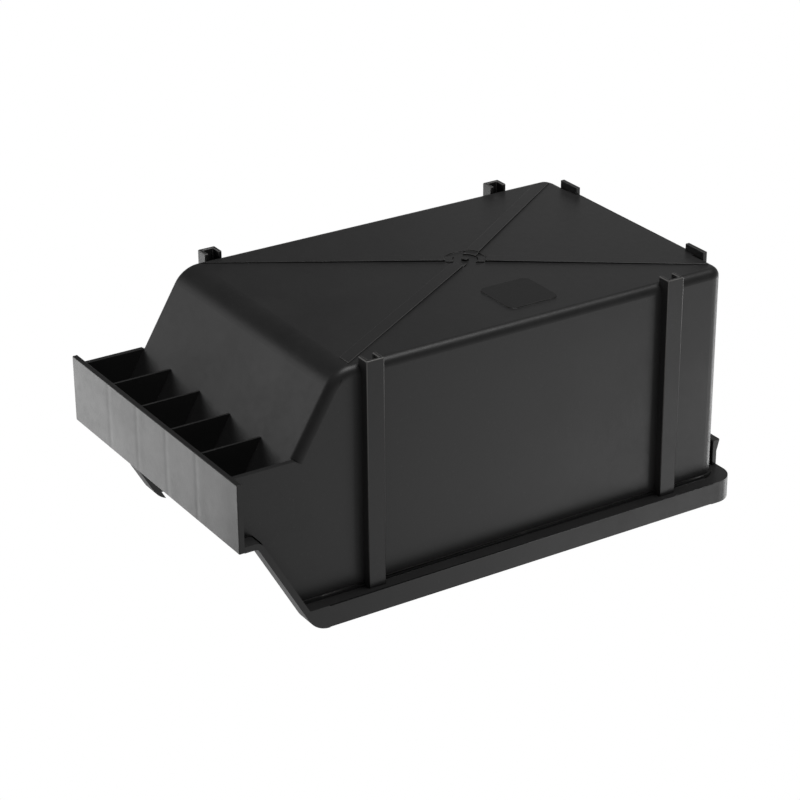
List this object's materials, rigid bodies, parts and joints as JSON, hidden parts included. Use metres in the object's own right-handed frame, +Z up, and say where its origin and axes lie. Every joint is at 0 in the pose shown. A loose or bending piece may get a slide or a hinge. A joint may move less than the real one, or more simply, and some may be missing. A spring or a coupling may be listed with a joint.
{
  "type": "stack-and-hang storage bin",
  "caption": "Black conductive plastic parts bin with a hopper front, ribbed label plate, channelled rim, barbed hanging lip and hollow stacking posts.",
  "frame": {"origin": "centre of the overall box, on the plane of the feet", "axes": "+X across the bin, +Y from the label plate at the front to the hanging lip at the rear, +Z up out of the open top"},
  "size_m": [0.105, 0.1828, 0.0814],
  "materials": {
    "conductive_plastic": "satin, fine moulded grain"
  },
  "bodies": {
    "root": {"floor_panel": "conductive_plastic", "front_scoop": "conductive_plastic", "left_wall": "conductive_plastic", "right_wall": "conductive_plastic", "rear_wall": "conductive_plastic", "left_floor_edge": "conductive_plastic", "right_floor_edge": "conductive_plastic", "left_bend_edge": "conductive_plastic", "right_bend_edge": "conductive_plastic", "left_scoop_edge": "conductive_plastic", "right_scoop_edge": "conductive_plastic", "front_lip": "conductive_plastic", "label_plate": "conductive_plastic", "label_rib_1": "conductive_plastic", "label_rib_2": "conductive_plastic", "label_rib_3": "conductive_plastic", "label_rib_4": "conductive_plastic", "left_hopper_edge": "conductive_plastic", "right_hopper_edge": "conductive_plastic", "left_rim": "conductive_plastic", "right_rim": "conductive_plastic", "rear_rim": "conductive_plastic", "left_rim_corner": "conductive_plastic", "right_rim_corner": "conductive_plastic", "hanging_lip": "conductive_plastic", "front_left_post": "conductive_plastic", "front_right_post": "conductive_plastic", "rear_left_post": "conductive_plastic", "rear_right_post": "conductive_plastic", "left_rear_tab": "conductive_plastic", "right_rear_tab": "conductive_plastic", "front_left_band": "conductive_plastic", "front_right_band": "conductive_plastic", "rear_left_band": "conductive_plastic", "rear_right_band": "conductive_plastic", "gate_mark": "conductive_plastic"}
  },
  "joints": []
}
